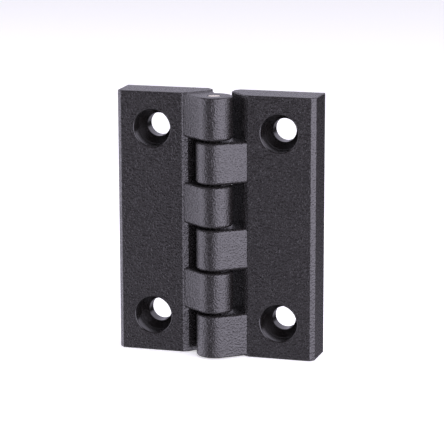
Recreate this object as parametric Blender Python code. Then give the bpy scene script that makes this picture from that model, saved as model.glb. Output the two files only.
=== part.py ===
"""Plastic leaf hinge: two identical moulded leaves that turn on one steel pin.

The leaves lie open and level with each other and stand on their lower ends at z = 0. Their front
faces look towards -Y. The origin is the middle of the footprint. All lengths are in metres.
"""

import math

import bmesh
import bpy
from mathutils import Matrix, Vector

MM = 0.001

# Leaf plate
LEAF_HEIGHT = 65.0 * MM
LEAF_REACH = 25.0 * MM  # pin axis to the outer edge
LEAF_THICKNESS = 9.0 * MM
FACE_SETBACK = 0.5 * MM  # pin axis to the front face, so closed leaves stay 1 mm apart
OUTER_CHAMFER = 1.3 * MM
LIP_WIDTH = 1.35 * MM  # of the shallow slope at the face's inner edge
LIP_DEPTH = 0.7 * MM
TIP_REACH = 2.7 * MM  # pin axis to the inner end of the back face's tip
TIP_CHAMFER = 1.3 * MM
EDGE_ROUND = 0.25 * MM

# Knuckles, each with a web that joins it to its own leaf
KNUCKLE_COUNT = 6
KNUCKLE_RADIUS = 4.5 * MM
KNUCKLE_GAP = 0.5 * MM
KNUCKLE_ROUND = 0.5 * MM  # on the rims of a knuckle's ends
KNUCKLE_INSET = 0.4 * MM  # the stack ends this far inside the leaf's ends
WALL_ANGLE = math.radians(42.5)  # between the slanted wall's normal and the leaf's face
WALL_CLEARANCE = 1.5 * MM  # from a knuckle to the other leaf's slanted wall
FLANK_INSET = 0.52 * MM  # from the face's inner edge to the line where the web's flank starts
WEB_BACK_ANGLE = math.radians(77.0)  # where the web's back leaves the knuckle
WEB_BACK_DROP = 0.3 * MM  # from the tip's chamfer to the web's back
WEB_ROOT = 2.5 * MM  # how deep the web runs into the plate
WEB_OVERRUN = 0.15 * MM

# Pin
PIN_RADIUS = 1.5 * MM
PIN_CLEARANCE = 0.1 * MM
PIN_RECESS = 0.2 * MM  # the pin ends this far inside the end knuckles
PIN_CHAMFER = 0.2 * MM
BORE_MOUTH_CHAMFER = 0.15 * MM

# Screw holes for M5 countersunk screws, sunk deep below the face
HOLE_SPACING_ACROSS = 32.0 * MM
HOLE_END_DISTANCE = 9.0 * MM
MOUTH_RADIUS = 4.6 * MM
MOUTH_DEPTH = 4.0 * MM
MOUTH_ROUND = 0.3 * MM
SHANK_RADIUS = 2.9 * MM

# Coring pockets in the back, which keep the moulding's walls even
FRONT_WALL = 3.0 * MM
OUTER_WALL = 2.5 * MM
RECESS_WALL = 3.0 * MM  # between a pocket's inner corner and the slanted wall
BOSS_WALL = 2.0 * MM  # round the mouth of a screw hole
RIB = 2.0 * MM
POCKET_COLUMNS = 2
POCKET_ROWS = 4
POCKET_CORNER = 0.8 * MM
POCKET_DRAFT = math.radians(1.5)

# Facets
ARC_STEP = math.radians(5.0)
HOLE_SIDES = 40
PIN_SIDES = 32
ROUND_STEPS = 3
EDGE_SEGMENTS = 2
ROUNDED_FROM = math.radians(15.0)  # corners of the plate that turn further than this are rounded
SHARP_FROM = math.radians(30.0)  # and edges that turn further than this are shaded as edges
CUT_OVERRUN = 1.0 * MM  # how far a cutter stands out of the face that it cuts

# Values that follow from the sizes above, in a leaf's own plan: x away from the pin, y to the back
FRONT = FACE_SETBACK
BACK = FACE_SETBACK + LEAF_THICKNESS
HALF_HEIGHT = LEAF_HEIGHT / 2
WALL_DISTANCE = KNUCKLE_RADIUS + WALL_CLEARANCE
LIP_END_Y = FRONT + LIP_DEPTH
LIP_END_X = (WALL_DISTANCE - LIP_END_Y * math.sin(WALL_ANGLE)) / math.cos(WALL_ANGLE)
FACE_INNER_EDGE = LIP_END_X + LIP_WIDTH
TIP_CORNER_Y = (WALL_DISTANCE - TIP_REACH * math.cos(WALL_ANGLE)) / math.sin(WALL_ANGLE)
BORE_RADIUS = PIN_RADIUS + PIN_CLEARANCE
STACK_HALF = HALF_HEIGHT - KNUCKLE_INSET
KNUCKLE_PITCH = (2 * STACK_HALF + KNUCKLE_GAP) / KNUCKLE_COUNT
HOLE_X = HOLE_SPACING_ACROSS / 2
HOLE_Z = HALF_HEIGHT - HOLE_END_DISTANCE
PIN_AXIS = Vector((0.0, (KNUCKLE_RADIUS - BACK) / 2, HALF_HEIGHT))


def arc(radius, start, end):
    """Points on an arc about the origin from start to end, both ends included."""
    steps = max(1, math.ceil(abs(end - start) / ARC_STEP - 1e-6))
    angles = [start + (end - start) * i / steps for i in range(steps + 1)]
    return [(radius * math.cos(a), radius * math.sin(a)) for a in angles]


def plate_outline():
    """Plan outline of the plate, with the lip and the slanted wall that clear the other knuckles."""
    return [
        (FACE_INNER_EDGE, FRONT),
        (LEAF_REACH - OUTER_CHAMFER, FRONT),
        (LEAF_REACH, FRONT + OUTER_CHAMFER),
        (LEAF_REACH, BACK),
        (TIP_REACH + TIP_CHAMFER, BACK),
        (TIP_REACH, BACK - TIP_CHAMFER),
        (TIP_REACH, TIP_CORNER_Y),
        (LIP_END_X, LIP_END_Y),
    ]


def knuckle_outline():
    """Plan outline of a knuckle and its web: a round, with a flank that leaves it at a tangent."""
    seat = Vector((FACE_INNER_EDGE - FLANK_INSET, FRONT + FLANK_INSET * LIP_DEPTH / LIP_WIDTH))
    tangent = math.atan2(seat.y, seat.x) - math.acos(KNUCKLE_RADIUS / seat.length)
    touch = KNUCKLE_RADIUS * Vector((math.cos(tangent), math.sin(tangent)))
    root = seat + WEB_ROOT * (seat - touch).normalized()

    heel = KNUCKLE_RADIUS * Vector((math.cos(WEB_BACK_ANGLE), math.sin(WEB_BACK_ANGLE)))
    tip = Vector((TIP_REACH, BACK - TIP_CHAMFER - WEB_BACK_DROP))
    inside = tip + WEB_OVERRUN * (tip - heel).normalized()
    deep = inside + Vector((WEB_ROOT, 0.0))

    foremost = 1.5 * math.pi
    left_side = arc(KNUCKLE_RADIUS, WEB_BACK_ANGLE, foremost)
    right_side = arc(KNUCKLE_RADIUS, foremost, 2 * math.pi + tangent)
    return [tuple(root), tuple(deep), tuple(inside)] + left_side + right_side[1:]


def rounded_rectangle(width, height, radius):
    """Outline of a rectangle about the origin with round corners."""
    outline = []
    for quarter, (side_x, side_y) in enumerate([(1, 1), (-1, 1), (-1, -1), (1, -1)]):
        centre = (side_x * (width / 2 - radius), side_y * (height / 2 - radius))
        for step in range(ROUND_STEPS + 1):
            angle = (quarter + step / ROUND_STEPS) * math.pi / 2
            outline.append((centre[0] + radius * math.cos(angle), centre[1] + radius * math.sin(angle)))
    return outline


def add_rings(bm, rings):
    """Joins rings of equal length into one closed body with a flat cap on each end."""
    loops = [[bm.verts.new(point) for point in ring] for ring in rings]
    count = len(loops[0])
    faces = [bm.faces.new(loops[0]), bm.faces.new(loops[-1])]
    for lower, upper in zip(loops, loops[1:]):
        for i in range(count):
            j = (i + 1) % count
            faces.append(bm.faces.new((lower[i], lower[j], upper[j], upper[i])))
    bmesh.ops.recalc_face_normals(bm, faces=faces)


def add_prism(bm, outline, low, high):
    """A plan outline carried straight up from low to high."""
    add_rings(bm, [[(x, y, z) for x, y in outline] for z in (low, high)])


def add_turned(bm, profile, sides, place):
    """A profile of (distance along the axis, radius) pairs turned about the local Z axis."""
    angles = [2 * math.pi * i / sides for i in range(sides)]
    rings = [
        [place @ Vector((radius * math.cos(a), radius * math.sin(a), along)) for a in angles]
        for along, radius in profile
    ]
    add_rings(bm, rings)


def make_object(name, bm):
    """A named object that holds the finished mesh."""
    mesh = bpy.data.meshes.new(name)
    bm.to_mesh(mesh)
    bm.free()
    obj = bpy.data.objects.new(name, mesh)
    bpy.context.scene.collection.objects.link(obj)
    return obj


def make_helper(name, bm, leaf):
    """A helper shape of a Boolean, which moves with its leaf and doesn't render."""
    helper = make_object(name, bm)
    helper.parent = leaf
    helper.hide_render = True
    helper.display_type = "WIRE"
    return helper


def make_material(name, colour, roughness, metallic):
    """A plain Principled material."""
    material = bpy.data.materials.new(name)
    material.use_nodes = True
    shader = material.node_tree.nodes["Principled BSDF"]
    shader.inputs["Base Color"].default_value = (*colour, 1.0)
    shader.inputs["Roughness"].default_value = roughness
    shader.inputs["Metallic"].default_value = metallic
    material.diffuse_color = (*colour, 1.0)
    return material


def shade(obj):
    """Smooth shading that breaks at real edges."""
    obj.data.shade_smooth()
    obj.data.set_sharp_from_angle(angle=SHARP_FROM)


def knuckle_shapes():
    """The three knuckles of one leaf, at every other place of the stack, with rounded end rims."""
    bm = bmesh.new()
    outline = knuckle_outline()
    for place in range(0, KNUCKLE_COUNT, 2):
        low = -STACK_HALF + place * KNUCKLE_PITCH
        add_prism(bm, outline, low, low + KNUCKLE_PITCH - KNUCKLE_GAP)
    rims = [edge for edge in bm.edges if edge.verts[0].co.z == edge.verts[1].co.z]
    bmesh.ops.bevel(
        bm, geom=rims, offset=KNUCKLE_ROUND, segments=EDGE_SEGMENTS, profile=0.5, affect="EDGES"
    )
    return bm


def add_bore(bm):
    """The pin's bore through every knuckle, with a small chamfer at the stack's own outer end."""
    mouth = -STACK_HALF
    profile = [
        (mouth - CUT_OVERRUN, BORE_RADIUS + BORE_MOUTH_CHAMFER + CUT_OVERRUN),
        (mouth + BORE_MOUTH_CHAMFER, BORE_RADIUS),
        (HALF_HEIGHT + CUT_OVERRUN, BORE_RADIUS),
    ]
    add_turned(bm, profile, PIN_SIDES, Matrix.Identity(4))


def add_screw_hole(bm, x, z):
    """A deep straight mouth, a 90 degree seat for the screw's head, and the shank's clearance hole."""
    rim = []
    for step in range(ROUND_STEPS + 1):
        angle = math.pi / 2 * (1 - step / ROUND_STEPS)
        along = FRONT + MOUTH_ROUND * (1 - math.sin(angle))
        rim.append((along, MOUTH_RADIUS + MOUTH_ROUND * (1 - math.cos(angle))))
    slope = (rim[0][1] - rim[1][1]) / (rim[1][0] - rim[0][0])
    outside = (FRONT - MOUTH_ROUND / 2, rim[0][1] + slope * MOUTH_ROUND / 2)
    seat = FRONT + MOUTH_DEPTH
    shank = seat + MOUTH_RADIUS - SHANK_RADIUS
    profile = [
        outside,
        *rim,
        (seat, MOUTH_RADIUS),
        (shank, SHANK_RADIUS),
        (BACK + CUT_OVERRUN, SHANK_RADIUS),
    ]
    towards_back = Matrix.Rotation(-math.pi / 2, 4, "X")
    add_turned(bm, profile, HOLE_SIDES, Matrix.Translation((x, 0.0, z)) @ towards_back)


def add_pockets(bm):
    """The grid of drafted pockets between the two screw bosses."""
    floor = FRONT + FRONT_WALL
    inner = (WALL_DISTANCE + RECESS_WALL - floor * math.sin(WALL_ANGLE)) / math.cos(WALL_ANGLE)
    outer = LEAF_REACH - OUTER_WALL
    field_half = HOLE_Z - MOUTH_RADIUS - BOSS_WALL - RIB
    width = (outer - inner - (POCKET_COLUMNS - 1) * RIB) / POCKET_COLUMNS
    height = (2 * field_half - (POCKET_ROWS - 1) * RIB) / POCKET_ROWS
    mouth = BACK + CUT_OVERRUN
    for column in range(POCKET_COLUMNS):
        for row in range(POCKET_ROWS):
            x = inner + width / 2 + column * (width + RIB)
            z = -field_half + height / 2 + row * (height + RIB)
            rings = []
            for y in (floor, mouth):
                narrower = 2 * (BACK - y) * math.tan(POCKET_DRAFT)
                outline = rounded_rectangle(width - narrower, height - narrower, POCKET_CORNER)
                rings.append([(x + u, y, z + v) for u, v in outline])
            add_rings(bm, rings)


def cut_shapes():
    """Everything that is cut out of one leaf."""
    bm = bmesh.new()
    add_bore(bm)
    for z in (-HOLE_Z, HOLE_Z):
        add_screw_hole(bm, HOLE_X, z)
    add_pockets(bm)
    return bm


def make_leaf(name, half_turn):
    """One leaf with its origin on the pin axis. The left leaf is the right one turned half round."""
    bm = bmesh.new()
    add_prism(bm, plate_outline(), -HALF_HEIGHT, HALF_HEIGHT)
    leaf = make_object(name, bm)
    leaf.data.materials.append(make_material(name, (0.045, 0.043, 0.045), 0.42, 0.0))
    shade(leaf)

    rounds = leaf.modifiers.new("edge_rounds", "BEVEL")
    rounds.width = EDGE_ROUND
    rounds.segments = EDGE_SEGMENTS
    rounds.limit_method = "ANGLE"
    rounds.angle_limit = ROUNDED_FROM

    knuckles = make_helper(name + "_knuckles", knuckle_shapes(), leaf)
    joined = leaf.modifiers.new("knuckles", "BOOLEAN")
    joined.operation = "UNION"
    joined.object = knuckles

    cuts = make_helper(name + "_cuts", cut_shapes(), leaf)
    cut = leaf.modifiers.new("cuts", "BOOLEAN")
    cut.operation = "DIFFERENCE"
    cut.object = cuts

    leaf.location = PIN_AXIS
    leaf.rotation_euler = (0.0, half_turn, 0.0)
    return leaf


def make_pin():
    """The steel pin, a little shorter than the stack of knuckles."""
    end = STACK_HALF - PIN_RECESS
    profile = [
        (-end, PIN_RADIUS - PIN_CHAMFER),
        (-end + PIN_CHAMFER, PIN_RADIUS),
        (end - PIN_CHAMFER, PIN_RADIUS),
        (end, PIN_RADIUS - PIN_CHAMFER),
    ]
    bm = bmesh.new()
    add_turned(bm, profile, PIN_SIDES, Matrix.Identity(4))
    pin = make_object("hinge_pin", bm)
    pin.data.materials.append(make_material("hinge_pin", (0.66, 0.65, 0.63), 0.28, 1.0))
    shade(pin)
    pin.location = PIN_AXIS
    return pin


def main():
    for obj in list(bpy.data.objects):
        bpy.data.objects.remove(obj, do_unlink=True)
    make_leaf("right_leaf", 0.0)
    make_leaf("left_leaf", math.pi)
    make_pin()


main()
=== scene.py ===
"""Finish, light and camera of a black moulded leaf hinge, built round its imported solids.

Both leaves are one moulding, so one class makes it twice. The leaf is drawn in its own plan, with
x away from the pin and y towards the back, and turned half round for the left hand.
"""

import logging
import math
from collections.abc import Sequence
from dataclasses import dataclass, field
from enum import Enum

import bpy
import numpy as np
from mathutils import Matrix, Vector


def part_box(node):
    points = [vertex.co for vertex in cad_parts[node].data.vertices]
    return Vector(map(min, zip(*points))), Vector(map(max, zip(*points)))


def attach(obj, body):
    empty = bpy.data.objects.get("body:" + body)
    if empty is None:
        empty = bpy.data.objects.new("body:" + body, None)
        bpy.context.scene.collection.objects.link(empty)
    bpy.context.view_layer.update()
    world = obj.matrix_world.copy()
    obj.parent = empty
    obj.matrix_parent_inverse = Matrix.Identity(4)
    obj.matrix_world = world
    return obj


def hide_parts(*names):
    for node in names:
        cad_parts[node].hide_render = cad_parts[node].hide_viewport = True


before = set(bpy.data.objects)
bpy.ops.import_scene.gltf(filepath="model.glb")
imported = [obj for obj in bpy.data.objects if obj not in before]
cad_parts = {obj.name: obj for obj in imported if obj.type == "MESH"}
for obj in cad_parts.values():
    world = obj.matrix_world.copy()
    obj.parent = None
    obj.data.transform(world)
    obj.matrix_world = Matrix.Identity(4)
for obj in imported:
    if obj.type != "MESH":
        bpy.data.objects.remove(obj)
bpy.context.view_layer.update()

MM = 0.001
ARC_DEGREES = 3.0
SMALL_ARC_DEGREES = 12.0
SMALL_RADIUS = 1.0 * MM
SMOOTH_LIMIT = math.radians(32.0)
FLATTEST_WEIGHT = 100
WAVES_PER_TURN = 20

log = logging.getLogger("hinge")


class Hand(Enum):
    """Which leaf: its CAD node, its body, its piece name and the half turn that places it."""

    LEFT = ("left_leaf", "fixed_leaf", "left_moulded_leaf", math.pi)
    RIGHT = ("right_leaf", "moving_leaf", "right_moulded_leaf", 0.0)

    def __init__(self, node: str, body: str, piece: str, turn: float) -> None:
        """Keeps the four facts by name."""
        self.node = node
        self.body = body
        self.piece = piece
        self.turn = turn


class Combine(Enum):
    """How a second shape is combined with a first."""

    JOIN = "UNION"
    CUT = "DIFFERENCE"


def linear(code: str) -> tuple[float, float, float, float]:
    """Turns an sRGB hex colour into the linear values that shaders read.

    Args:
        code: A colour such as "#2a282b".

    Returns:
        Red, green, blue and an alpha of 1.
    """
    shares = [int(code[i : i + 2], 16) / 255 for i in (1, 3, 5)]
    low, high = [s / 12.92 for s in shares], [((s + 0.055) / 1.055) ** 2.4 for s in shares]
    red, green, blue = [a if s <= 0.04045 else b for s, a, b in zip(shares, low, high)]
    return red, green, blue, 1.0


def add_node(tree: bpy.types.NodeTree, kind: str, settings: dict | None = None, **links) -> bpy.types.Node:
    """Adds a shader node with its settings and its inputs.

    Args:
        tree: The node tree that the node joins.
        kind: The node's type name.
        settings: Properties of the node by name.
        **links: Inputs by name, with an underscore for a space. A socket is linked, a value is set.
            A name that starts with "in" and a number means that input by its place.

    Returns:
        The new node.
    """
    node = tree.nodes.new(kind)
    for name, value in (settings or {}).items():
        setattr(node, name, value)
    put_inputs(tree, node, links)
    return node


def put_inputs(tree: bpy.types.NodeTree, node: bpy.types.Node, inputs: dict) -> None:
    """Links or sets a node's inputs.

    Args:
        tree: The node's tree.
        node: The node.
        inputs: Sockets and values by input name, as add_node takes them.
    """
    for name, value in inputs.items():
        key = int(name[2:]) if name[:2] == "in" and name[2:].isdigit() else name.replace("_", " ")
        if isinstance(value, bpy.types.NodeSocket):
            tree.links.new(value, node.inputs[key])
        else:
            node.inputs[key].default_value = value


class FinishTree:
    """A new material with a Principled shader, whose textures lie on object coordinates."""

    def __init__(self, name: str) -> None:
        """Starts the material under the finish's own name."""
        self.material = bpy.data.materials.new(name)
        self.material.use_nodes = True
        self.tree = self.material.node_tree
        self.place = add_node(self.tree, "ShaderNodeTexCoord").outputs["Object"]

    def noise(self, lump_mm: float, detail: float) -> bpy.types.NodeSocket:
        """Noise from 0 to 1, with lumps of that size and that many finer layers."""
        scale = 1 / (lump_mm * MM)
        noise = add_node(self.tree, "ShaderNodeTexNoise", Vector=self.place, Scale=scale, Detail=detail)
        return noise.outputs["Fac"]

    def relief(self, height: bpy.types.NodeSocket, depth_mm: float, **under) -> bpy.types.NodeSocket:
        """Normals of a relief of that depth, laid over another one if its Normal is given."""
        bump = add_node(self.tree, "ShaderNodeBump", Height=height, Distance=depth_mm * MM, **under)
        return bump.outputs["Normal"]

    def surface(self, **inputs) -> bpy.types.Material:
        """Links or sets the shader's inputs, and returns the material."""
        put_inputs(self.tree, self.tree.nodes["Principled BSDF"], inputs)
        return self.material


@dataclass(frozen=True)
class SparkErodedPolyamide:
    """Glass-filled polyamide, moulded in a spark-eroded cavity.

    It gives the eye a satin black skin whose fine pits break each highlight into soft speckle, a
    faint mottling where glass lies near the skin, and a slow waviness from the mould's filling.
    """

    name: str = "moulded glass-filled polyamide"
    skin: str = "#1a1817"
    glass_rich: str = "#201e1e"
    roughness: float = 0.28
    ior: float = 1.53
    # Real pits are 0.05 to 0.1 mm wide. They are drawn coarser, because a pixel is 0.25 mm.
    pit_mm: float = 0.42
    pit_depth_mm: float = 0.18
    pit_detail: float = 1.5
    # Most of the pits' noise lies between these two heights.
    pit_heights: tuple[float, float] = (0.35, 0.65)
    gloss_spread: float = 0.08
    mottle_mm: float = 1.6
    mottle_detail: float = 3.0
    ripple_mm: float = 7.0
    ripple_depth_mm: float = 0.02

    def make(self) -> bpy.types.Material:
        """Returns the material, with its grain on object coordinates."""
        finish = FinishTree(self.name)
        colour = add_node(
            finish.tree,
            "ShaderNodeMix",
            {"data_type": "RGBA"},
            in0=finish.noise(self.mottle_mm, self.mottle_detail),
            in6=linear(self.skin),
            in7=linear(self.glass_rich),
        )
        pits = finish.noise(self.pit_mm, self.pit_detail)
        deep, high = self.pit_heights
        gloss = add_node(
            finish.tree,
            "ShaderNodeMapRange",
            Value=pits,
            From_Min=deep,
            From_Max=high,
            To_Min=self.roughness + self.gloss_spread,
            To_Max=self.roughness - self.gloss_spread,
        )
        waves = finish.relief(finish.noise(self.ripple_mm, 0.0), self.ripple_depth_mm)
        return finish.surface(
            Base_Color=colour.outputs[2],
            Roughness=gloss.outputs["Result"],
            IOR=self.ior,
            Normal=finish.relief(pits, self.pit_depth_mm, Normal=waves),
        )


@dataclass(frozen=True)
class ShadeDarkenedCorePinPolyamide:
    """The same polyamide where polished core pins shaped it, inside the holes.

    It gives the eye smooth walls with narrow, clear highlights beside the grained faces, and a skin
    painted darker than theirs as shade inside the holes.
    """

    name: str = "polyamide off polished core pins, darkened as painted shade"
    # Darker than the faces' skin: painted shade inside the holes and the bore.
    skin: str = "#161413"
    roughness: float = 0.22
    ior: float = 1.53
    drag_mm: float = 0.5
    drag_depth_mm: float = 0.002
    drag_detail: float = 2.0

    def make(self) -> bpy.types.Material:
        """Returns the material, with faint drag marks from the core pins."""
        finish = FinishTree(self.name)
        marks = finish.relief(finish.noise(self.drag_mm, self.drag_detail), self.drag_depth_mm)
        return finish.surface(
            Base_Color=linear(self.skin), Roughness=self.roughness, IOR=self.ior, Normal=marks
        )


@dataclass(frozen=True)
class TurnedSteel:
    """Turned stainless steel.

    It gives the eye a bright end face with fine rings from the facing tool.
    """

    name: str = "turned stainless steel"
    metal: str = "#e6dfcc"
    roughness: float = 0.26
    feed_mm: float = 0.12
    groove_mm: float = 0.004

    def make(self, axis: Vector) -> bpy.types.Material:
        """Makes the material with its rings centred on the pin.

        Args:
            axis: A point on the pin's axis.

        Returns:
            The material.
        """
        finish = FinishTree(self.name)
        centre = (-axis.x, -axis.y, 0.0)
        centred = add_node(finish.tree, "ShaderNodeMapping", Vector=finish.place, Location=centre)
        # Rings repeat 20 times over a scale of 2 pi, so the scale is worked out from the feed.
        rings = add_node(
            finish.tree,
            "ShaderNodeTexWave",
            {"wave_type": "RINGS", "rings_direction": "Z"},
            Vector=centred.outputs["Vector"],
            Scale=2 * math.pi / (WAVES_PER_TURN * self.feed_mm * MM),
            Distortion=0.0,
        )
        return finish.surface(
            Base_Color=linear(self.metal),
            Metallic=1.0,
            Roughness=self.roughness,
            Normal=finish.relief(rings.outputs["Fac"], self.groove_mm),
        )


@dataclass(frozen=True)
class ShadeDarkenedSteel:
    """Drawn stainless bar inside the knuckles, its colour painted dark as shade.

    Its dark colour is painted shade: it gives the eye a dark glint at most, where the pin shows between two
    knuckles.
    """

    name: str = "drawn steel darkened as painted shade"
    # A dark colour as painted shade, for the pin seen in the gaps between knuckles.
    shade_colour: str = "#3a3835"
    roughness: float = 0.42
    smear_mm: float = 0.8
    smear_depth_mm: float = 0.004
    smear_detail: float = 2.0

    def make(self) -> bpy.types.Material:
        """Returns the material, with a faint smeared relief."""
        finish = FinishTree(self.name)
        smears = finish.relief(finish.noise(self.smear_mm, self.smear_detail), self.smear_depth_mm)
        return finish.surface(
            Base_Color=linear(self.shade_colour), Metallic=1.0, Roughness=self.roughness, Normal=smears
        )


@dataclass(frozen=True)
class Corner:
    """A corner of an outline, with the radius of the arc that rounds it."""

    x: float
    y: float
    radius: float


def rounded_outline(corners: Sequence[Corner]) -> tuple[np.ndarray, np.ndarray]:
    """Rounds an outline that runs anticlockwise.

    At each corner the arc touches both sides at radius times tan(half the turn) from the corner.
    Its centre is one radius from the first touching point, inwards at a left turn and outwards at
    a right turn, and its points are that centre plus the turned outward normal times the radius.

    Args:
        corners: The outline's corners in order.

    Returns:
        The points and their outward normals, each as rows of two.
    """
    points = np.array([(c.x, c.y) for c in corners])
    before = points - np.roll(points, 1, axis=0)
    before /= np.linalg.norm(before, axis=1, keepdims=True)
    after = np.roll(before, -1, axis=0)
    cross = before[:, 0] * after[:, 1] - before[:, 1] * after[:, 0]
    turns = np.arctan2(cross, (before * after).sum(axis=1))
    arcs, normals = [], []
    for corner, point, along, turn in zip(corners, points, before, turns):
        step = SMALL_ARC_DEGREES if corner.radius < SMALL_RADIUS else ARC_DEGREES
        steps = max(3, math.ceil(abs(math.degrees(turn)) / step))
        angles = turn * np.linspace(0.0, 1.0, steps + 1)
        outward = math.atan2(-along[0], along[1]) + angles
        unit = np.column_stack([np.cos(outward), np.sin(outward)])
        touch = point - along * corner.radius * math.tan(abs(turn) / 2)
        centre = touch - math.copysign(corner.radius, turn) * unit[0]
        arcs.append(centre + math.copysign(corner.radius, turn) * unit)
        normals.append(unit)
    return np.concatenate(arcs), np.concatenate(normals)


def tangent_corner(radius: float, start: float, end: float) -> Corner:
    """The corner whose rounding is an arc about the pin's axis.

    The tangents at the arc's two ends meet at radius / cos(half the arc), on its middle direction.

    Args:
        radius: The arc's radius.
        start: Direction of the arc's first end, in radians.
        end: Direction of its other end.

    Returns:
        The corner.
    """
    far, middle = radius / math.cos((end - start) / 2), (start + end) / 2
    return Corner(far * math.cos(middle), far * math.sin(middle), radius)


def lofted(name: str, rings: np.ndarray, material: bpy.types.Material) -> bpy.types.Object:
    """Joins equal rings into one closed body with a cap on each end.

    Point i of ring j joins points i + 1 of the same ring and i of ring j + 1, so every wall face is
    a quad on a grid, and the caps are the first and last rings themselves.

    Args:
        name: The object's name.
        rings: Points as an array of rings, points in a ring, and x, y, z.
        material: The body's finish.

    Returns:
        The object, linked to the scene.
    """
    levels, count = rings.shape[:2]
    index = np.arange(levels * count).reshape(levels, count)
    following = np.roll(index, -1, axis=1)
    walls = np.stack([index[:-1], following[:-1], following[1:], index[1:]], axis=-1)
    faces = walls.reshape(-1, 4).tolist() + [index[0, ::-1].tolist(), index[-1].tolist()]
    mesh = bpy.data.meshes.new(name)
    mesh.from_pydata(rings.reshape(-1, 3).tolist(), [], faces)
    mesh.materials.append(material)
    mesh.shade_smooth()
    obj = bpy.data.objects.new(name, mesh)
    bpy.context.scene.collection.objects.link(obj)
    return obj


def prism(outline: tuple[np.ndarray, np.ndarray], levels: Sequence[tuple[float, float]]) -> np.ndarray:
    """Carries an outline straight up, pulled in or let out at each level.

    Each ring is the outline minus its outward normals times that level's inset.

    Args:
        outline: Points and outward normals.
        levels: Pairs of height and inset.

    Returns:
        Rings of points.
    """
    points, normals = outline
    heights, insets = np.array(levels).T
    flat = points[None] - normals[None] * insets[:, None, None]
    return np.dstack([flat, np.broadcast_to(heights[:, None, None], flat[..., :1].shape)])


def turned(profile: Sequence[tuple[float, float]], sides: int) -> np.ndarray:
    """Turns a profile about the Z axis: x = r cos(a), y = r sin(a), z = the distance along it.

    Args:
        profile: Pairs of distance along the axis and radius.
        sides: Points in each ring.

    Returns:
        Rings of points.
    """
    angles = np.linspace(0.0, 2 * np.pi, sides, endpoint=False)
    circle = np.column_stack([np.cos(angles), np.sin(angles)])
    along, radii = np.array(profile).T
    flat = circle[None] * radii[:, None, None]
    return np.dstack([flat, np.broadcast_to(along[:, None, None], flat[..., :1].shape)])


def towards_back(rings: np.ndarray, x: float, z: float) -> np.ndarray:
    """Turns rings stacked along Z so that they stack along Y, and centres them on x and z."""
    return np.stack([rings[..., 0] + x, rings[..., 2], z - rings[..., 1]], axis=-1)


def quarter(radius: float, steps: int) -> list[tuple[float, float]]:
    """A quarter round as pairs of depth and step back, from the wall out to the face.

    depth = radius (1 - sin a) and step back = radius (1 - cos a), for a from 0 to 90 degrees.
    """
    angles = np.linspace(0.0, np.pi / 2, steps + 1)
    return list(zip(radius * (1 - np.sin(angles)), radius * (1 - np.cos(angles))))


def combine(base: bpy.types.Object, other: bpy.types.Object, how: Combine) -> None:
    """Joins or cuts a body with another, which is used up.

    Args:
        base: The body that is kept.
        other: The body that is joined to it or cut from it.
        how: Whether it is joined or cut.
    """
    modifier = base.modifiers.new("combine", "BOOLEAN")
    modifier.operation = how.value
    modifier.object = other
    modifier.material_mode = "TRANSFER"
    ready = base.evaluated_get(bpy.context.evaluated_depsgraph_get())
    mesh = bpy.data.meshes.new_from_object(ready)
    base.modifiers.clear()
    old, base.data = base.data, mesh
    bpy.data.meshes.remove(old)
    bpy.data.objects.remove(other, do_unlink=True)


def finish_surface(obj: bpy.types.Object, place: Matrix) -> None:
    """Places a finished mesh and gives it normals that keep its flat faces flat.

    Args:
        obj: The piece, with its object at the origin.
        place: Where its mesh goes.
    """
    obj.data.transform(place)
    obj.data.shade_smooth()
    obj.data.set_sharp_from_angle(angle=SMOOTH_LIMIT)
    weighted = obj.modifiers.new("flat faces stay flat", "WEIGHTED_NORMAL")
    weighted.keep_sharp = True
    weighted.weight = FLATTEST_WEIGHT


def report_piece(obj: bpy.types.Object) -> None:
    """Logs a piece's name, its size in millimetres and its face count."""
    sizes = ", ".join(f"{side / MM:.1f}" for side in obj.dimensions)
    log.info("%s: %s mm, %d faces", obj.name, sizes, len(obj.data.polygons))


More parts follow.
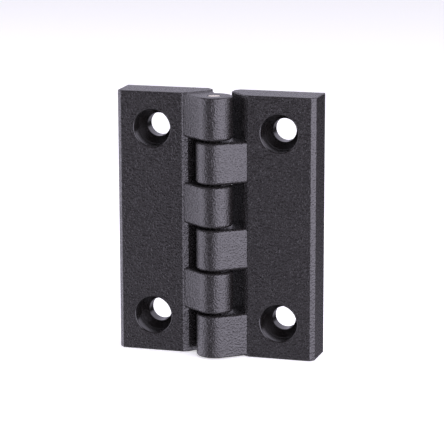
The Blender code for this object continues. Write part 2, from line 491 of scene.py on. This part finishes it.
@dataclass
class MouldedLeaf:
    """One leaf: its plate, three knuckles with webs, two sunk screw holes and the cored back."""

    hand: Hand
    grained: bpy.types.Material
    polished: bpy.types.Material
    thickness: float = 9.0 * MM
    outer_chamfer: float = 1.05 * MM
    side_draft: float = 0.2 * MM
    lip_width: float = 1.35 * MM
    lip_depth: float = 0.7 * MM
    tip_reach: float = 2.7 * MM
    tip_chamfer: float = 1.3 * MM
    corner_round: float = 0.30 * MM
    edge_round: float = 0.3 * MM
    parting_round: float = 0.08 * MM
    knuckle_count: int = 6
    knuckle_gap: float = 0.45 * MM
    knuckle_round: float = 0.8 * MM
    end_round: float = 0.4 * MM
    knuckle_inset: float = 0.3 * MM
    end_extra: float = 0.33 * MM
    wall_angle: float = math.radians(42.5)
    wall_clearance: float = 1.5 * MM
    flank_inset: float = 0.35 * MM
    web_back_angle: float = math.radians(77.0)
    web_back_drop: float = 0.3 * MM
    web_root: float = 2.5 * MM
    web_overrun: float = 0.9 * MM
    heel_lead: float = math.radians(6.0)
    knuckle_arcs: int = 3
    bore_clearance: float = 0.1 * MM
    bore_round: float = 0.15 * MM
    bore_steps: int = 4
    hole_spacing: float = 32.0 * MM
    hole_end_distance: float = 9.0 * MM
    mouth_radius: float = 4.6 * MM
    mouth_depth: float = 4.0 * MM
    mouth_round: float = 0.3 * MM
    # How far a step at each end of the 90 degree seat goes sideways, as a share of its length.
    seat_slant: float = 0.7
    shank_radius: float = 2.9 * MM
    front_wall: float = 3.0 * MM
    outer_wall: float = 2.5 * MM
    recess_wall: float = 3.0 * MM
    boss_wall: float = 2.0 * MM
    rib: float = 2.0 * MM
    pocket_columns: int = 2
    pocket_rows: int = 4
    pocket_corner: float = 0.8 * MM
    pocket_floor_round: float = 0.3 * MM
    pocket_draft: float = math.radians(1.5)
    round_steps: int = 5
    hole_sides: int = 96
    overrun: float = 1.0 * MM
    axis: Vector = field(init=False)
    pin_radius: float = field(init=False)
    half_height: float = field(init=False)
    reach: float = field(init=False)
    back: float = field(init=False)
    front: float = field(init=False)
    knuckle_radius: float = field(init=False)
    wall_distance: float = field(init=False)
    lip_end: float = field(init=False)
    face_inner: float = field(init=False)
    stack_half: float = field(init=False)
    hole_x: float = field(init=False)
    hole_z: float = field(init=False)

    def __post_init__(self) -> None:
        """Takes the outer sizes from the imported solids."""
        low, high = (Vector(corner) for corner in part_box(self.hand.node))
        pin_low, pin_high = (Vector(corner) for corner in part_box("hinge_pin"))
        self.axis = Vector(((pin_low.x + pin_high.x) / 2, (pin_low.y + pin_high.y) / 2, (low.z + high.z) / 2))
        self.pin_radius = (pin_high.x - pin_low.x) / 2
        self.half_height = (high.z - low.z) / 2
        self.reach = max(high.x - self.axis.x, self.axis.x - low.x)
        self.back = high.y - self.axis.y
        self.front = self.back - self.thickness
        self.knuckle_radius = self.axis.y - low.y
        self.wall_distance = self.knuckle_radius + self.wall_clearance
        self.lip_end = self.front + self.lip_depth
        self.face_inner = self.wall_x(self.lip_end) + self.lip_width
        self.stack_half = self.half_height - self.knuckle_inset
        self.hole_x = self.hole_spacing / 2
        self.hole_z = self.half_height - self.hole_end_distance

    def wall_x(self, y: float, deeper: float = 0.0) -> float:
        """Where the slanted wall, or a line deeper in the leaf, lies at depth y.

        The wall is the line x cos(angle) + y sin(angle) = its distance from the pin's axis.

        Args:
            y: Depth behind the pin's axis.
            deeper: How far the line lies behind the wall.

        Returns:
            Distance from the pin's axis along the leaf.
        """
        distance = self.wall_distance + deeper
        return (distance - y * math.sin(self.wall_angle)) / math.cos(self.wall_angle)

    def plate_outline(self) -> tuple[np.ndarray, np.ndarray]:
        """Outline of the plate, with the lip and slanted wall that clear the other leaf's knuckles.

        The mould parts at the back face. So the outer side leans out a little on its way back, and
        the edges there are nearly sharp: the rounding of the ends shrinks from full, where a normal
        points sideways, to the parting edge's at the back.
        """
        tip_corner = (self.wall_distance - self.tip_reach * math.cos(self.wall_angle)) / math.sin(
            self.wall_angle
        )
        corners = [
            (self.face_inner, self.front, self.corner_round),
            (self.reach - self.outer_chamfer, self.front, self.corner_round),
            (self.reach, self.front + self.outer_chamfer, self.corner_round),
            (self.reach + self.side_draft, self.back, self.parting_round),
            (self.tip_reach + self.tip_chamfer, self.back, self.parting_round),
            (self.tip_reach, self.back - self.tip_chamfer, self.corner_round),
            (self.tip_reach, tip_corner, self.corner_round),
            (self.wall_x(self.lip_end), self.lip_end, self.corner_round),
        ]
        points, normals = rounded_outline([Corner(*corner) for corner in corners])
        backward = np.clip(normals[:, 1:], 0.0, 1.0)
        return points, normals * (1 - backward * (1 - self.parting_round / self.edge_round))

    def knuckle_outline(self) -> tuple[np.ndarray, np.ndarray]:
        """Outline of a knuckle with its web, whose flank leaves the round at a tangent."""
        radius, small = self.knuckle_radius, self.corner_round
        # The hidden corners stay rounder than the rims of the ends, which pull them in.
        hidden = self.knuckle_round + small
        drop = self.flank_inset * self.lip_depth / self.lip_width
        seat = Vector((self.face_inner - self.flank_inset, self.front + drop))
        tangent = math.atan2(seat.y, seat.x) - math.acos(radius / seat.length)
        touch = radius * Vector((math.cos(tangent), math.sin(tangent)))
        root = seat + self.web_root * (seat - touch).normalized()
        # The web's back meets the round at a fillet, whose tangent side starts a little further on.
        heel_turn = self.web_back_angle + self.heel_lead
        heel = radius * Vector((math.cos(self.web_back_angle), math.sin(self.web_back_angle)))
        tip = Vector((self.tip_reach, self.back - self.tip_chamfer - self.web_back_drop))
        slope = (tip - heel).normalized()
        inside = tip + self.web_overrun * slope
        along = (radius - heel.x * math.cos(heel_turn) - heel.y * math.sin(heel_turn)) / (
            slope.x * math.cos(heel_turn) + slope.y * math.sin(heel_turn)
        )
        fillet = heel + along * slope
        ends = np.linspace(heel_turn, 2 * math.pi + tangent, self.knuckle_arcs + 1)
        arcs = [tangent_corner(radius, a, b) for a, b in zip(ends, ends[1:])]
        return rounded_outline(
            [
                Corner(root.x, root.y, hidden),
                Corner(inside.x + self.web_root, inside.y, hidden),
                Corner(inside.x, inside.y, hidden),
                Corner(fillet.x, fillet.y, small / 2),
                *arcs,
            ]
        )

    def rounded_levels(
        self, low: float, high: float, low_round: float, high_round: float
    ) -> list[tuple[float, float]]:
        """Heights and insets of a prism from low to high whose two end rims have those radii."""
        lower = [(low + depth, back) for depth, back in reversed(quarter(low_round, self.round_steps))]
        return lower + [(high - depth, back) for depth, back in quarter(high_round, self.round_steps)]

    def bore(self) -> np.ndarray:
        """The pin's bore, with a rounded mouth at the end knuckle's outer end."""
        radius = self.pin_radius + self.bore_clearance
        rim = [
            (-self.stack_half + depth, radius + back)
            for depth, back in quarter(self.bore_round, self.bore_steps)
        ]
        # The cutter starts outside the knuckle, and opens on its way out.
        outside = (-self.stack_half - self.overrun, rim[-1][1] + 2 * self.overrun)
        profile = [outside, *reversed(rim), (self.half_height + self.overrun, radius)]
        return turned(profile, self.hole_sides)

    def screw_hole(self, z: float) -> np.ndarray:
        """A deep mouth with a rounded rim, a 90 degree seat and the shank's clearance hole."""
        rim = [
            (self.front + depth, self.mouth_radius + back)
            for depth, back in quarter(self.mouth_round, self.round_steps)
        ]
        # The cutter starts just outside the face, and opens on its way out.
        outside = (self.front - self.mouth_round / 4, rim[-1][1] + 3 * self.mouth_round)
        seat = self.front + self.mouth_depth
        shank = seat + self.mouth_radius - self.shank_radius
        ease = self.mouth_round / 2
        slant = self.seat_slant * ease
        profile = [
            outside,
            *reversed(rim),
            (seat - ease, self.mouth_radius),
            (seat + slant, self.mouth_radius - slant),
            (shank - slant, self.shank_radius + slant),
            (shank + ease, self.shank_radius),
            (self.back - ease, self.shank_radius),
            (self.back + self.overrun, self.shank_radius + self.overrun + ease),
        ]
        return towards_back(turned(profile, self.hole_sides), self.hole_x, z)

    def pockets(self) -> list[np.ndarray]:
        """The grid of drafted coring pockets between the screw bosses, with rounded floors."""
        floor = self.front + self.front_wall
        inner = self.wall_x(floor, self.recess_wall)
        outer = self.reach - self.outer_wall
        field_half = self.hole_z - self.mouth_radius - self.boss_wall - self.rib
        width = (outer - inner - (self.pocket_columns - 1) * self.rib) / self.pocket_columns
        height = (2 * field_half - (self.pocket_rows - 1) * self.rib) / self.pocket_rows
        taper = math.tan(self.pocket_draft)
        floor_rim = [
            (floor + depth, back + (self.back - floor - depth) * taper)
            for depth, back in reversed(quarter(self.pocket_floor_round, self.round_steps))
        ]
        levels = [*floor_rim, (self.back + self.overrun, -self.overrun * taper)]
        signs = [(1, -1), (1, 1), (-1, 1), (-1, -1)]
        half = rounded_outline([Corner(u * width / 2, v * height / 2, self.pocket_corner) for u, v in signs])
        rings = prism(half, levels)
        xs = inner + width / 2 + np.arange(self.pocket_columns) * (width + self.rib)
        zs = -field_half + height / 2 + np.arange(self.pocket_rows) * (height + self.rib)
        return [towards_back(rings, x, z) for x in xs for z in zs]

    def build(self) -> bpy.types.Object:
        """Makes the whole leaf, in place.

        Returns:
            The leaf's object.
        """
        plate = self.rounded_levels(-self.half_height, self.half_height, self.edge_round, self.edge_round)
        leaf = lofted(self.hand.piece, prism(self.plate_outline(), plate), self.grained)
        outline = self.knuckle_outline()
        pitch = (2 * (self.stack_half - self.end_extra) + self.knuckle_gap) / self.knuckle_count
        for place in range(0, self.knuckle_count, 2):
            inner_low = -self.stack_half + self.end_extra + place * pitch
            high = inner_low + pitch - self.knuckle_gap
            # The first knuckle ends the stack, with a smaller rim there.
            low, low_round = (inner_low, self.knuckle_round) if place else (-self.stack_half, self.end_round)
            levels = self.rounded_levels(low, high, low_round, self.knuckle_round)
            combine(leaf, lofted("knuckle", prism(outline, levels), self.grained), Combine.JOIN)
        for z in (-self.hole_z, self.hole_z):
            combine(leaf, lofted("screw_hole", self.screw_hole(z), self.polished), Combine.CUT)
        combine(leaf, lofted("bore", self.bore(), self.polished), Combine.CUT)
        for rings in self.pockets():
            combine(leaf, lofted("pocket", rings, self.grained), Combine.CUT)
        finish_surface(leaf, Matrix.Translation(self.axis) @ Matrix.Rotation(self.hand.turn, 4, "Y"))
        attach(leaf, self.hand.body)
        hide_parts(self.hand.node)
        report_piece(leaf)
        return leaf


@dataclass
class SteelPin:
    """The turned pin, with a chamfer and a faced end at each end.

    Its ends stand nearly flush with the end knuckles, a little longer than on the solid.
    """

    ends: TurnedSteel
    side: ShadeDarkenedSteel
    chamfer: float = 0.12 * MM
    end_growth: float = 0.25 * MM
    ring_shares: tuple[float, ...] = (1.0, 0.75, 0.5, 0.25, 0.04)
    sides: int = 96

    def build(self) -> bpy.types.Object:
        """Makes the pin, in place.

        Returns:
            The pin's object.
        """
        low, high = (Vector(corner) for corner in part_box("hinge_pin"))
        axis, radius = (low + high) / 2, (high.x - low.x) / 2
        half = (high.z - low.z) / 2 + self.end_growth
        faced = radius - self.chamfer
        end = [(half, faced * share) for share in self.ring_shares]
        profile = [(-z, r) for z, r in reversed(end)]
        profile += [(-half + self.chamfer, radius), (half - self.chamfer, radius), *end]
        pin = lofted("turned_hinge_pin", turned(profile, self.sides), self.ends.make(axis))
        pin.data.materials.append(self.side.make())
        is_side = np.zeros(len(pin.data.polygons), dtype=np.int32)
        # Each ring of faces follows its ring of points, and the long side comes after one end's.
        first = len(end) * self.sides
        is_side[first : first + self.sides] = 1
        pin.data.polygons.foreach_set("material_index", is_side)
        finish_surface(pin, Matrix.Translation(axis))
        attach(pin, "fixed_leaf")
        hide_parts("hinge_pin")
        report_piece(pin)
        return pin


@dataclass(frozen=True)
class SoftBox:
    """A softbox as an area light, aimed at the hinge."""

    name: str
    azimuth: float
    elevation: float
    distance: float
    width: float
    height: float
    radiance: float
    colour: str = "#f1ecff"

    def build(self, aim: Vector) -> None:
        """Places the light.

        Azimuth 0 is in front of the hinge and positive to its right. The light's power is its
        radiance times pi times its area.

        Args:
            aim: The point that it faces.
        """
        a, e = math.radians(self.azimuth), math.radians(self.elevation)
        out = Vector((math.sin(a) * math.cos(e), -math.cos(a) * math.cos(e), math.sin(e)))
        lamp = bpy.data.lights.new(self.name, "AREA")
        lamp.shape = "RECTANGLE"
        lamp.size, lamp.size_y = self.width, self.height
        lamp.energy = self.radiance * math.pi * self.width * self.height
        lamp.color = linear(self.colour)[:3]
        obj = bpy.data.objects.new(self.name, lamp)
        obj.location = aim + out * self.distance
        obj.rotation_euler = (-out).to_track_quat("-Z", "Y").to_euler()
        obj.visible_camera = False
        bpy.context.scene.collection.objects.link(obj)


def smooth_change(
    tree: bpy.types.NodeTree, way: bpy.types.NodeSocket, span: tuple, ends: tuple
) -> bpy.types.NodeSocket:
    """Changes smoothly from one level to another.

    Args:
        tree: The world's node tree.
        way: The part of the direction that steers the change.
        span: Its values where the change starts and ends.
        ends: The level before the change and the level after it, as values or sockets.

    Returns:
        The level.
    """
    change = add_node(
        tree,
        "ShaderNodeMapRange",
        {"interpolation_type": "SMOOTHSTEP"},
        Value=way,
        From_Min=span[0],
        From_Max=span[1],
        To_Min=ends[0],
        To_Max=ends[1],
    )
    return change.outputs["Result"]


@dataclass
class Studio:
    """A plain pale floor, soft light from both sides and the upper left, and a white room behind."""

    floor_side: float = 8.0
    floor_gap: float = 0.1 * MM
    floor_colour: str = "#f2f2f2"
    floor_lift: float = 0.52
    room_colour: str = "#f1ecff"
    room_behind: float = 1.0
    room_dim: float = 0.04
    table_behind: float = 0.45
    table_front: float = 1.0
    # Each change of level in the room runs between two values of a direction's part.
    behind_span: tuple[float, float] = (0.2, 0.6)
    front_span: tuple[float, float] = (0.0, -0.5)
    table_span: tuple[float, float] = (-0.16, -0.36)
    horizon_span: tuple[float, float] = (-0.02, 0.12)
    boxes: tuple[SoftBox, ...] = (
        SoftBox("left softbox", -80.0, 0.0, 0.60, 0.97, 0.70, 3.0),
        SoftBox("right softbox", 62.0, 10.0, 0.60, 1.24, 0.84, 4.8),
        SoftBox("top softbox", -90.0, 76.0, 0.70, 0.45, 0.45, 1.8),
    )

    def floor(self) -> None:
        """Makes the floor, whose colour is raised a little for the camera so that it reads as white."""
        half = self.floor_side / 2
        corners = np.array([(-half, -half), (half, -half), (half, half), (-half, half)])
        points = np.column_stack([corners, np.full(4, -self.floor_gap)])
        mesh = bpy.data.meshes.new("pale floor")
        mesh.from_pydata(points.tolist(), [], [(0, 1, 2, 3)])
        material = bpy.data.materials.new("pale matt floor")
        material.use_nodes = True
        tree = material.node_tree
        tree.nodes.remove(tree.nodes["Principled BSDF"])
        ray = add_node(tree, "ShaderNodeLightPath").outputs["Is Camera Ray"]
        matt = add_node(tree, "ShaderNodeBsdfDiffuse", Color=linear(self.floor_colour))
        lift = add_node(tree, "ShaderNodeMath", {"operation": "MULTIPLY"}, in0=ray, in1=self.floor_lift)
        glow = add_node(tree, "ShaderNodeEmission", Strength=lift.outputs[0])
        both = add_node(tree, "ShaderNodeAddShader", in0=matt.outputs[0], in1=glow.outputs[0])
        tree.links.new(both.outputs[0], tree.nodes["Material Output"].inputs["Surface"])
        mesh.materials.append(material)
        floor = bpy.data.objects.new("pale_floor", mesh)
        bpy.context.scene.collection.objects.link(floor)
        # The hinge's sides mirror the softboxes, as they would on a table narrower than this floor.
        floor.visible_glossy = False

    def room(self) -> None:
        """Makes the surroundings: white behind the hinge, dim in front, and plain white to the camera."""
        world = bpy.data.worlds.new("studio room")
        world.use_nodes = True
        bpy.context.scene.world = world
        tree = world.node_tree
        tree.nodes.clear()
        way = add_node(tree, "ShaderNodeTexCoord").outputs["Generated"]
        parts = add_node(tree, "ShaderNodeSeparateXYZ", Vector=way)
        deep, high = parts.outputs["Y"], parts.outputs["Z"]
        above = smooth_change(tree, deep, self.behind_span, (self.room_dim, self.room_behind))
        # Below the horizon the hinge mirrors the table, which is brighter close to it and in front.
        table = smooth_change(tree, deep, self.front_span, (self.table_behind, self.table_front))
        below = smooth_change(tree, high, self.table_span, (self.room_dim, table))
        level = smooth_change(tree, high, self.horizon_span, (below, above))
        ray = add_node(tree, "ShaderNodeLightPath").outputs["Is Camera Ray"]
        room = add_node(tree, "ShaderNodeBackground", Strength=level)
        plain = add_node(tree, "ShaderNodeBackground", Strength=1.0)
        room.inputs["Color"].default_value = linear(self.room_colour)
        plain.inputs["Color"].default_value = linear("#ffffff")
        mixed = add_node(tree, "ShaderNodeMixShader", in0=ray, in1=room.outputs[0], in2=plain.outputs[0])
        output = add_node(tree, "ShaderNodeOutputWorld")
        tree.links.new(mixed.outputs[0], output.inputs["Surface"])

    def build(self, aim: Vector) -> None:
        """Makes the floor, the room and the lights.

        Args:
            aim: The point that the softboxes face.
        """
        self.floor()
        self.room()
        for box in self.boxes:
            box.build(aim)


@dataclass(frozen=True)
class ViewCamera:
    """The photograph's view: a long lens, a little to the right and above."""

    yaw: float = math.radians(16.17)
    pitch: float = math.radians(12.323)
    roll: float = math.radians(0.138)
    focal_pixels: float = 2101.3
    image_pixels: float = 444.0
    sensor_mm: float = 36.0
    aside: float = -1.824 * MM
    below: float = 1.064 * MM
    distance: float = 512.16 * MM
    nearest: float = 0.01
    farthest: float = 50.0

    def build(self, aim: Vector) -> None:
        """Makes the camera.

        The view direction is (-sin yaw cos pitch, cos yaw cos pitch, -sin pitch). The aim point lies
        at (aside, below, distance) from the camera along its right, down and view directions.

        Args:
            aim: The middle of the pin's axis.
        """
        forward = Vector(
            (
                -math.sin(self.yaw) * math.cos(self.pitch),
                math.cos(self.yaw) * math.cos(self.pitch),
                -math.sin(self.pitch),
            )
        )
        level = Vector((math.cos(self.yaw), math.sin(self.yaw), 0.0))
        plumb = forward.cross(level)
        right = math.cos(self.roll) * level + math.sin(self.roll) * plumb
        down = math.cos(self.roll) * plumb - math.sin(self.roll) * level
        place = aim - (self.aside * right + self.below * down + self.distance * forward)
        lens = bpy.data.cameras.new("photograph view")
        lens.sensor_width = self.sensor_mm
        lens.lens = self.focal_pixels * self.sensor_mm / self.image_pixels
        lens.clip_start, lens.clip_end = self.nearest, self.farthest
        camera = bpy.data.objects.new("photograph view", lens)
        turn = Matrix((right, -down, -forward)).transposed()
        camera.matrix_world = Matrix.Translation(place) @ turn.to_4x4()
        bpy.context.scene.collection.objects.link(camera)
        bpy.context.scene.camera = camera


def main() -> None:
    """Builds the hinge's pieces, then the studio and the camera."""
    logging.basicConfig(level=logging.INFO, format="%(name)s: %(message)s")
    grained = SparkErodedPolyamide().make()
    polished = ShadeDarkenedCorePinPolyamide().make()
    for hand in Hand:
        MouldedLeaf(hand, grained, polished).build()
    SteelPin(TurnedSteel(), ShadeDarkenedSteel()).build()

    low, high = (Vector(corner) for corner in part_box("hinge_pin"))
    middle = (low + high) / 2
    Studio().build(middle)
    ViewCamera().build(middle)
    view = bpy.context.scene.view_settings
    view.view_transform = "Standard"


if __name__ == "__main__":
    main()
